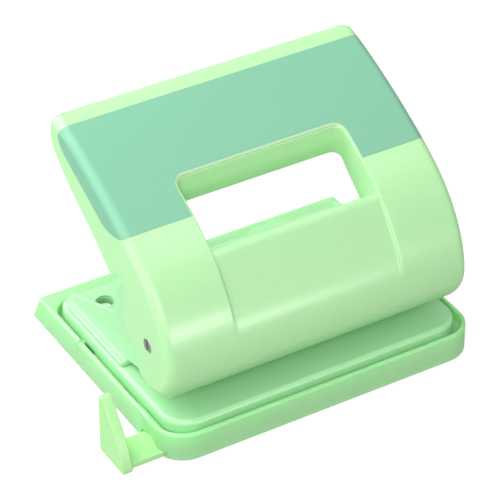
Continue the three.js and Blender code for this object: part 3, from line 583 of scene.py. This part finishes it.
full_handle = handle_block("handle", 0)
grip = keep(copy_of(full_handle), grip_band("band", GRIP_DEPTH, 0, WINDOW_RIM + GRIP_MARGIN + SEAM))
shell = cut(
    full_handle,
    handle_cavity(),
    axle_bore("axle_bore", 0.25),
    window_cutter(),
    rim_cutter(),
    grip_band("recess", GRIP_DEPTH + SEAM, -SEAM, WINDOW_RIM + GRIP_MARGIN),
)
dress(shell, "handle_shell_smooth", "handle", HANDLE_GREEN, ["handle_shell"])
dress(grip, "grip_inlay_smooth", "handle", GRIP_TEAL, ["grip_inlay"])

# ---------------------------------------------------------------- base plate

DIE_RADIUS = 3.1
PEG_HOLE_RADIUS = 3.2
ACCESS_RADIUS = 3.3
RIVET_HOLE_RADIUS = 1.8
SHEETS_CLEAR = 20  # clear over plate and flange
LEAST_CORNER = 0.2


def rounded_rings(half, front, back, front_radius, back_radius, edge, top, steps=9):
    """Plan outlines that roll over a rounded top edge."""
    rings = []
    for a in quarter(steps):
        inset = edge * (1 - math.cos(a))
        radii = max(front_radius - inset, LEAST_CORNER), max(back_radius - inset, LEAST_CORNER)
        line = plan(half - inset, front + inset, back - inset, *radii)
        rings.append(PLACE["z"](line, top - edge + edge * math.sin(a)))
    return rings


def drill(obj, name, centre, radius, steps=48):
    """Drills an upright hole through the sheets."""
    return cut(obj, rod(name, "z", centre, radius, 0, SHEETS_CLEAR, steps))


def base_plate():
    size = (PLATE_HALF, PLATE_FRONT, PLATE_BACK, PLATE_FRONT_CORNER, PLATE_BACK_CORNER)
    t = PLATE_SHEET
    foot = plan(*size)
    radii = PLATE_FRONT_CORNER - t, PLATE_BACK_CORNER - t
    inner = plan(PLATE_HALF - t, PLATE_FRONT + t, PLATE_BACK - t, *radii)
    inside = [PLACE["z"](inner, PLATE_TOP - t), PLACE["z"](inner, PLATE_SKIRT)]
    outside = [PLACE["z"](foot, PLATE_SKIRT), *rounded_rings(*size, PLATE_EDGE, PLATE_TOP)]
    plate = skin("plate", inside + outside)
    for side in SIDES.values():
        drill(plate, "die", (side * HOLE_X, PIN_Y), DIE_RADIUS)
        drill(plate, "peg_hole", (side * PEG[0], PEG[1]), PEG_HOLE_RADIUS)
    for centre in RIVETS:
        drill(plate, "rivet_hole", centre, RIVET_HOLE_RADIUS, 24)
    return plate


dress(base_plate(), "base_plate_smooth", "base", PAINTED_STEEL, ["base_plate"])

# ---------------------------------------------------------------- frame bracket

FOLD = 0.35  # radius of the small bend at the foot of each ear
FOLD_SUNK = 0.3  # how far the bend is let into ear and flange
FOLD_BACK = 33.4
EAR_EDGE = 0.35
EAR_ROOT = 14.4  # the ears' lower edge, sunk in the flange

# An ear from its low rear tip up over the axle and back along the guide bridge, as (y, z).
EAR = np.vstack([
    [(34.5, EAR_ROOT), (34.5, 17.4), (4.5, 29.5), (2, 31.5), (0.2, 41), (-4, 47.5), (-10, 50.4), (-17, 51)],
    arc(AXLE, EAR_RADIUS, 75, 180, 14),
    [(AXLE[0] - 5, BRIDGE_Z + 6), (AXLE[0] - 3.5, BRIDGE_Z), (-13, BRIDGE_Z - 0.9)],
    [(PAPER_STOP, 15.6), (PAPER_STOP, EAR_ROOT)],
])


def ear_fold(side):
    """The small bend along the foot of an ear."""
    outer = side * EAR_OUTER
    sunk = outer - side * FOLD_SUNK
    bend = [
        (outer + side * FOLD * (1 - math.sin(a)), FLANGE_TOP + FOLD * (1 - math.cos(a)))
        for a in np.radians([0, 20, 40, 60, 75, 90])
    ]
    low = FLANGE_TOP - FOLD_SUNK
    line = [(sunk, low), (outer + side * FOLD, low), *bend, (sunk, FLANGE_TOP + FOLD)]
    return prism("fold", "y", line, PAPER_STOP + 0.6, FOLD_BACK)


def frame_bracket():
    inset = FLANGE_INSET
    size = (PLATE_HALF - inset, PAPER_STOP, PLATE_BACK - inset, 1, PLATE_BACK_CORNER - inset)
    loops = [PLACE["z"](plan(*size), PLATE_TOP + GAP), *rounded_rings(*size, FLANGE_EDGE, FLANGE_TOP, 6)]
    bracket = skin("bracket", loops)
    for side in SIDES.values():
        low, high = sorted((side * (EAR_OUTER - EAR_SHEET), side * EAR_OUTER))
        join(bracket, soften(prism("ear", "x", EAR, low, high), EAR_EDGE), ear_fold(side))
        drill(bracket, "access", (side * PEG[0], PEG[1]), ACCESS_RADIUS)
    rear = np.array(FLANGE_REAR)
    behind = np.vstack([rear[::-1] * [-1, 1], rear[1:], [(CLEAR_SIDE, 60), (-CLEAR_SIDE, 60)]])
    cut(bracket, axle_bore("axle_hole", GAP), prism("behind", "z", behind, PLATE_TOP - 1, FLANGE_TOP + 0.5))
    for centre in RIVETS:
        drill(bracket, "rivet_hole", centre, RIVET_HOLE_RADIUS, 24)
    return bracket


dress(frame_bracket(), "frame_bracket_smooth", "base", PAINTED_STEEL, ["frame_bracket"])

# ---------------------------------------------------------------- lower tray

FOOT_EDGE = 0.4  # the small bevel round the foot
# The rounded inner edge at the top, as (growth of the hollow, height from the rim).
INNER_EDGE = [(0, -0.5), (0.07, -0.26), (0.22, -0.08), (0.5, 0.02)]
LEDGE_HEIGHTS = (5.6, 7.6, 6.6)  # root of the shelf, its top, and the underside of its free edge
LEDGE_ROOT = 0.8  # where the shelf starts, inside the wall
LEDGE_REACH = 4.6
REAR_WALL = TRAY_WALL + 0.2
TRAY_CLEAR = 80
TRAY_CLEAR_TOP = 30

# Pegs of the rear frame and the white caps on them, as (height, radius). The caps' white is painted light: it
# stands in for the bright spot seen down the peg holes.
PEG_STEPS = [(1, 4), (3, 4), (3.4, 2), (11.4, 2)]
CAP_STEPS = [(10.3, 2.1), (11.3, 2.35), (12.4, 2.35), (12.5, 1.9), (12.55, 0.8)]

# Lugs of the rear frame, which stand from LUG_X out, and the stubs in them that the chip tray turns on.
LUG_X = 50.0
LUG_WIDTH = 3.0
LUG_RADIUS = 2.2
LUG_BORE = 1.5
STUB_RADIUS = 1.2
CHEEK_WIDTH = 1.6

GUIDE_FRONT = -39.5
GUIDE_BACK = -26.7
GUIDE_LOW = 0.25
GUIDE_TOP = 2.3
# The tunnel over the guide's arm and the thicker wall behind the thumb scoop, as (front, back, top).
TUNNEL = (-41.9, -24.3, 3.9)
SCOOP_WALL = (-42.5, -20.5, 9.8)
SCOOP_WALL_THICKNESS = 2.8
# Posts under the plate's front corners.
POST = (48, -36.5)
POST_RADIUS = 2.4
POST_TOP = PLATE_TOP - PLATE_SHEET - GAP
# Thumb scoop: its depth, and its middle and half width at the table with their change up to the rim.
SCOOP_DEPTH = 2.3
SCOOP_MIDDLE, SCOOP_DRIFT = -33, 8.2
SCOOP_REACH, SCOOP_TAPER = 9.5, 4.6


def tray_body():
    """Rear frame and chip tray in one, before they are parted: floor, walls and a rounded rim."""
    back = TRAY_BACK + TRAY_LEAN
    e = FOOT_EDGE
    foot = plan(TRAY_HALF, TRAY_FRONT, back, FRONT_CORNER, BACK_CORNER)
    bevel = plan(TRAY_HALF - e, TRAY_FRONT + e, back - e, FRONT_CORNER - e, BACK_CORNER - e)
    size = (TRAY_HALF, TRAY_FRONT, TRAY_BACK, FRONT_CORNER, BACK_CORNER)
    rim = rounded_rings(*size, TRAY_EDGE, TRAY_HEIGHT, 8)
    return skin("tray", [PLACE["z"](bevel, 0), PLACE["z"](foot, e), *rim])


def tray_hollow(wall, front, back, bottom, corner):
    """The hollow inside the walls, widening over a small rounded inner edge at the top."""
    edge = [(grow, TRAY_HEIGHT + z) for grow, z in INNER_EDGE]
    loops = []
    for grow, z in [(0, bottom), *edge, (edge[-1][0], TRAY_CLEAR_TOP)]:
        radii = FRONT_CORNER - wall + grow, corner + grow
        loops.append(PLACE["z"](plan(TRAY_HALF - wall + grow, front - grow, back + grow, *radii), z))
    return skin("hollow", loops)


def ledge(front, back):
    """A shelf inside the walls, just below the plate's skirt, between two distances from front to back."""
    a, b = LEDGE_ROOT, LEDGE_REACH
    root, top, under = LEDGE_HEIGHTS
    outer = plan(TRAY_HALF - a, TRAY_FRONT + a, RIM_BACK + 2, FRONT_CORNER - a, RIM_CORNER)
    inner = plan(TRAY_HALF - b, TRAY_FRONT + b, RIM_BACK - 3, FRONT_CORNER - b, RIM_CORNER - 2)
    corners = [(outer, root), (outer, top), (inner, top), (inner, under)]
    shelf = skin("ledge", [PLACE["z"](line, z) for line, z in corners], ring=True)
    return keep(shelf, block("span", (-TRAY_CLEAR, front, 0), (TRAY_CLEAR, back, 20)))


def rear_lug(side):
    """A lug that reaches forward to the hinge, rounded about its bore."""
    low = min(side * LUG_X, side * (LUG_X + LUG_WIDTH))
    root = [(SPLIT + 2, HINGE[1] - LUG_RADIUS), (SPLIT + 2, HINGE[1] + LUG_RADIUS)]
    line = np.vstack([arc(HINGE, LUG_RADIUS, 90, 270, 16), root])
    return prism("lug", "x", line, low, low + LUG_WIDTH), low


def rear_frame():
    body = tray_body()
    cut(body, tray_hollow(REAR_WALL, TRAY_FRONT + 2, RIM_BACK, TRAY_FLOOR, RIM_CORNER))
    under_low = (-TRAY_HALF + 6, RIM_BACK - 1, TRAY_FLOOR)
    under_high = (TRAY_HALF - 6, TRAY_BACK - 1.8, TRAY_HEIGHT - 1.5)
    cut(body, block("under_rim", under_low, under_high))
    join(body, ledge(SPLIT - 2, RIM_BACK + 1))
    rear_low, rear_high = (-TRAY_CLEAR, SPLIT, -1), (TRAY_CLEAR, TRAY_CLEAR, TRAY_CLEAR_TOP)
    keep(body, block("rear_half", rear_low, rear_high))
    for side in SIDES.values():
        peg = turned("peg", "z", (side * PEG[0], PEG[1]), PEG_STEPS)
        lug, low = rear_lug(side)
        inner, outer = sorted((side * (PLATE_HALF + GAP), side * (TRAY_HALF - 0.8)))
        clip = soften(block("clip", (inner, SPLIT, 5), (outer, SPLIT + 1.8, TRAY_HEIGHT - 1.4)), 0.3)
        join(body, peg, lug, clip)
        cut(body, rod("hinge_bore", "x", HINGE, LUG_BORE, low - 1, low + LUG_WIDTH + 1, 24))
    return body


def front_half():
    """What lies in front of the split, rounded about the hinge so that the tray can turn."""
    end = SPLIT - GAP
    h = TRAY_HEIGHT
    line = np.vstack([
        [(TRAY_FRONT - 1, -1), (HINGE[0], -1)],
        arc(HINGE, end - HINGE[0], -90, 0, 10),
        [(end, h - 1.4), (end - 0.2, h - 0.8), (end - 0.7, h - 0.25), (end - 1.6, h + 0.2)],
        [(end - 3, h + 1), (TRAY_FRONT - 1, h + 1)],
    ])
    return prism("front_half", "x", line, -TRAY_CLEAR, TRAY_CLEAR)


def arm_channel():
    """The slot in the tray's underside that the guide's arm slides in, with a wider part for its tongues."""
    front, back = GUIDE_FRONT - GAP, GUIDE_BACK + GAP
    tongue, low, high = 0.8, 0.9, GUIDE_TOP + GAP
    right = [(back, -1), (back, low), (back + tongue, low), (back + tongue, high)]
    left = [(front - tongue, high), (front - tongue, low), (front, low)]
    return prism("arm_channel", "x", [(front, -1), *right, *left], -TRAY_HALF - 1, TRAY_HALF - 3)


def add_hinge_side(body, side):
    """Makes room for the rear frame's lug and adds the cheek and stub that turn in it."""
    past_lug = LUG_X + LUG_WIDTH + GAP
    inner, outer = sorted((side * (LUG_X - GAP), side * past_lug))
    cut(body, block("lug_room", (inner, HINGE[0] - 2.5, -1), (outer, 30, TRAY_HEIGHT)))
    front = HINGE[0] - 3
    line = np.vstack([[(front, 0)], arc(HINGE, LUG_RADIUS, -90, 120, 16), [(front, HINGE[1])]])
    cheek = sorted((side * past_lug, side * (past_lug + CHEEK_WIDTH)))
    stub = sorted((side * (LUG_X + 0.4), side * (past_lug + CHEEK_WIDTH)))
    join(body, prism("cheek", "x", line, *cheek), rod("stub", "x", HINGE, STUB_RADIUS, *stub, 24))


def thumb_scoop():
    """A smooth hollow in the left wall beside the guide's fin, which fades out towards the rim."""
    outside = -TRAY_HALF - 0.04
    clear = -TRAY_HALF - 3
    across = np.linspace(-1, 1, 25)
    loops = []
    for share in np.linspace(0, 1, 12):
        z = -0.5 + share * (TRAY_HEIGHT + 0.2)
        depth = SCOOP_DEPTH * (1 - share) ** 0.9
        centre = SCOOP_MIDDLE + share * SCOOP_DRIFT
        reach = SCOOP_REACH - SCOOP_TAPER * share
        bowl = outside + (depth + 0.04) * (0.5 + 0.5 * np.cos(math.pi * across))
        line = np.vstack([
            np.stack([bowl, centre + across * reach], 1),
            [(clear, centre + reach), (clear, centre - reach)],
        ])
        loops.append(PLACE["z"](line, z))
    return skin("scoop", loops)


def chip_tray():
    body = tray_body()
    cut(body, tray_hollow(TRAY_WALL, TRAY_FRONT + TRAY_WALL, 60, TRAY_FLOOR, 2))
    tunnel = block("tunnel", (-TRAY_HALF, TUNNEL[0], 0), (TRAY_HALF, TUNNEL[1], TUNNEL[2]))
    wall_low = (-TRAY_HALF, SCOOP_WALL[0], 1)
    wall_high = (-TRAY_HALF + SCOOP_WALL_THICKNESS, SCOOP_WALL[1], SCOOP_WALL[2])
    join(tunnel, soften(block("scoop_back", wall_low, wall_high), 0.8))
    keep(tunnel, tray_body())
    join(body, tunnel, ledge(TRAY_FRONT, HINGE[0] - 3))
    keep(body, front_half())
    for side in SIDES.values():
        join(body, rod("post", "z", (side * POST[0], POST[1]), POST_RADIUS, TRAY_FLOOR, POST_TOP, 32))
    cut(body, arm_channel())
    for side in SIDES.values():
        add_hinge_side(body, side)
    return cut(body, thumb_scoop())


dress(rear_frame(), "rear_frame_smooth", "base", TRAY_GREEN, ["rear_frame"])
# White caps on the pegs: painted light, standing in for the bright spot seen down the peg holes.
for name, side in SIDES.items():
    cap = turned("cap", "z", (side * PEG[0], PEG[1]), CAP_STEPS)
    dress(cap, f"peg_cap_{name}", "base", PAINTED_LIGHT_WHITE)
dress(chip_tray(), "chip_tray_smooth", "tray", TRAY_GREEN, ["chip_tray"])

# ---------------------------------------------------------------- paper guide

FIN_X = (-75.4, -71.7)
ARM_END = 31.3
# The fin's outline as (y, z): its upright back and blunt tip, its sloping front, and its foot.
FIN_BACK = [(-25.2, GUIDE_LOW), (-25.2, 22.2), (-26, 23.2)]
FIN_SLOPE = [(-28.2, 23.2), (-31.6, 18.6), (-36.2, 12.6), (-39.4, 6.6), (-41.2, 1.4)]
FIN_FOOT = [(-41, GUIDE_LOW)]
TONGUE_REACH = 0.7
TONGUE_HEIGHTS = (1.2, 2.2)


def paper_guide():
    fin_line = np.vstack([FIN_BACK, smooth_line(FIN_SLOPE, 1.2), FIN_FOOT])
    fin = soften(prism("fin", "x", fin_line, *FIN_X), 0.45, angle=50)
    arm_low, arm_high = (FIN_X[0] + 1, GUIDE_FRONT, GUIDE_LOW), (ARM_END, GUIDE_BACK, GUIDE_TOP)
    arm = soften(block("arm", arm_low, arm_high), 0.25, angle=50)
    tongues_low = (-TRAY_HALF + 6, GUIDE_FRONT - TONGUE_REACH, TONGUE_HEIGHTS[0])
    tongues_high = (ARM_END, GUIDE_BACK + TONGUE_REACH, TONGUE_HEIGHTS[1])
    return join(fin, arm, block("tongues", tongues_low, tongues_high))


dress(paper_guide(), "paper_guide_smooth", "guide", GUIDE_GREEN, ["paper_guide"])

# ---------------------------------------------------------------- axle and springs

AXLE_EDGE = 0.55
GROOVE = (0.05, 1.35)  # where each clip's groove starts and ends, outward from the ear's face
GROOVE_RADIUS = 1.9
SLOT_HALF = 0.4
SLOT_DEPTH = 0.6
SPRING_LOW, SPRING_HIGH = 21.9, 35.6
SPRING_RADIUS = 4.0
SPRING_WIRE = 0.4
SPRING_TURNS = 6.5
SPRING_FLAT = 0.75  # turns that lie flat at each end
STEPS_PER_TURN = 40
WIRE_SIDES = 12


def axle():
    """A rod with rounded, slotted ends and a groove outside each ear for its clip."""
    r = AXLE_RADIUS
    near, far = EAR_OUTER + GROOVE[0], EAR_OUTER + GROOVE[1]
    # From the rod's end inward, as (distance from the middle, radius).
    end = [
        (HANDLE_HALF, r - AXLE_EDGE), (HANDLE_HALF - 0.2, r - 0.2), (HANDLE_HALF - AXLE_EDGE, r),
        (far, r), (far - 0.01, GROOVE_RADIUS), (near + 0.01, GROOVE_RADIUS), (near, r),
    ]
    body = turned("axle", "x", AXLE, [(-x, radius) for x, radius in end] + end[::-1])
    for side in SIDES.values():
        low, high = sorted((side * (HANDLE_HALF - SLOT_DEPTH), side * (HANDLE_HALF + 1)))
        slot_low = (low, AXLE[0] - SLOT_HALF, AXLE[1] - 4)
        slot_high = (high, AXLE[0] + SLOT_HALF, AXLE[1] + 4)
        cut(body, block("slot", slot_low, slot_high))
    return body


def spring(x):
    """A wound wire with its end turns lying flat."""
    count = int(SPRING_TURNS * STEPS_PER_TURN)
    share = np.arange(count + 1) / count
    flat = SPRING_FLAT / SPRING_TURNS
    climb = np.clip((share - flat) / (1 - 2 * flat), 0, 1)
    height = SPRING_LOW + SPRING_WIRE + (SPRING_HIGH - SPRING_LOW - 2 * SPRING_WIRE) * climb
    loops = []
    for a, z in zip(share * SPRING_TURNS * 2 * math.pi, height):
        out = np.array([math.cos(a), math.sin(a), 0])
        centre = np.array([x, PIN_Y, z]) + out * SPRING_RADIUS
        loops.append(np.array([
            centre + out * SPRING_WIRE * math.cos(b) + np.array([0, 0, SPRING_WIRE * math.sin(b)])
            for b in np.linspace(0, 2 * math.pi, WIRE_SIDES, endpoint=False)
        ]))
    return skin("spring", loops)


dress(axle(), "pivot_axle_smooth", "base", BARE_STEEL, ["pivot_axle"])
for name, side in SIDES.items():
    node = f"pin_spring_{name}"
    wire = spring(side * HOLE_X)
    coil = dress(wire, f"{node}_smooth", "base", SPRING_STEEL, [node], sharp_from=60)
    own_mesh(coil)

# ---------------------------------------------------------------- CAD pieces that show as they are

STEEL_WORDS = ("bush", "rivet", "clip", "punch_pin", "retainer", "lever", "screw")
for name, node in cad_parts.items():
    if not node.hide_render:
        paint(node.data, BARE_STEEL if any(word in name for word in STEEL_WORDS) else PAINTED_STEEL)

# ---------------------------------------------------------------- floor and light

FLOOR_HALF = 8000
FLOOR_GLOW = 0.86
FLOOR_GREY = (0.2, 0.2, 0.2)
SKY_COLOR = (1, 0.99, 0.95, 1)
SKY_STRENGTH = 0.53
LAMP_AIM = Vector((0, 0, 0.04))

floor = block("floor", (-FLOOR_HALF, -FLOOR_HALF, -3), (FLOOR_HALF, FLOOR_HALF, -0.01))
white = surface("white_floor", FLOOR_GREY, 0.8)
white.node_tree.nodes["Principled BSDF"].inputs["Emission Color"].default_value = (1, 1, 1, 1)
white.node_tree.nodes["Principled BSDF"].inputs["Emission Strength"].default_value = FLOOR_GLOW
floor.data.materials.append(white)
# The bright floor shows to the camera only, so that it throws no light up at the punch.
for reach in ("visible_diffuse", "visible_glossy", "visible_transmission", "visible_shadow"):
    setattr(floor, reach, False)

world = bpy.data.worlds.new("studio")
bpy.context.scene.world = world
world.use_nodes = True
world.node_tree.nodes["Background"].inputs["Color"].default_value = SKY_COLOR
world.node_tree.nodes["Background"].inputs["Strength"].default_value = SKY_STRENGTH


def lamp(name, toward, distance, size, energy, color=(1, 1, 1), gloss_only=False):
    """An area lamp in a direction from the punch, facing it. Sizes and distances are in metres."""
    data = bpy.data.lights.new(name, "AREA")
    data.shape = "RECTANGLE"
    data.size, data.size_y = size
    data.energy = energy
    data.color = color
    obj = bpy.data.objects.new(name, data)
    bpy.context.scene.collection.objects.link(obj)
    direction = Vector(toward).normalized()
    obj.location = direction * distance + LAMP_AIM
    obj.rotation_mode = "QUATERNION"
    obj.rotation_quaternion = direction.to_track_quat("Z", "Y")
    obj.visible_camera = False
    obj.visible_diffuse = not gloss_only
    return obj


lamp("key", (-0.52, 0.50, 0.69), 0.8, (0.9, 0.9), 8.7, (0.98, 1, 0.99))
lamp("fill", (-0.42, -0.70, 0.55), 0.9, (0.5, 0.4), 4.1)
lamp("side", (-0.95, 0.05, 0.25), 0.9, (0.5, 0.5), 0.6, (0.84, 0.94, 1))
lamp("front_strip", (0.20, -0.96, 0.17), 1.0, (0.40, 0.10), 4.2, (1, 0.98, 0.93), gloss_only=True)
lamp("top_strip", (0.42, -0.16, 0.895), 1.0, (0.5, 0.04), 1.1, gloss_only=True)

# ---------------------------------------------------------------- camera

TARGET = Vector((0.663, 5.631, 33.442)) * MM
AZIMUTH, ELEVATION, DISTANCE = math.radians(-31.047), math.radians(35.725), 932.77
LENS = 197.15
SENSOR = 36

level = math.cos(ELEVATION)
back = Vector((math.sin(AZIMUTH) * level, -math.cos(AZIMUTH) * level, math.sin(ELEVATION)))
camera_data = bpy.data.cameras.new("camera")
camera_data.lens = LENS
camera_data.sensor_width = SENSOR
camera_data.clip_start = 0.05
camera_data.clip_end = 20
camera = bpy.data.objects.new("camera", camera_data)
bpy.context.scene.collection.objects.link(camera)
camera.location = TARGET + back * DISTANCE * MM
camera.rotation_mode = "QUATERNION"
camera.rotation_quaternion = (-back).to_track_quat("-Z", "Y")
bpy.context.scene.camera = camera

bpy.context.scene.view_settings.view_transform = "Standard"
bpy.context.scene.view_settings.look = "None"
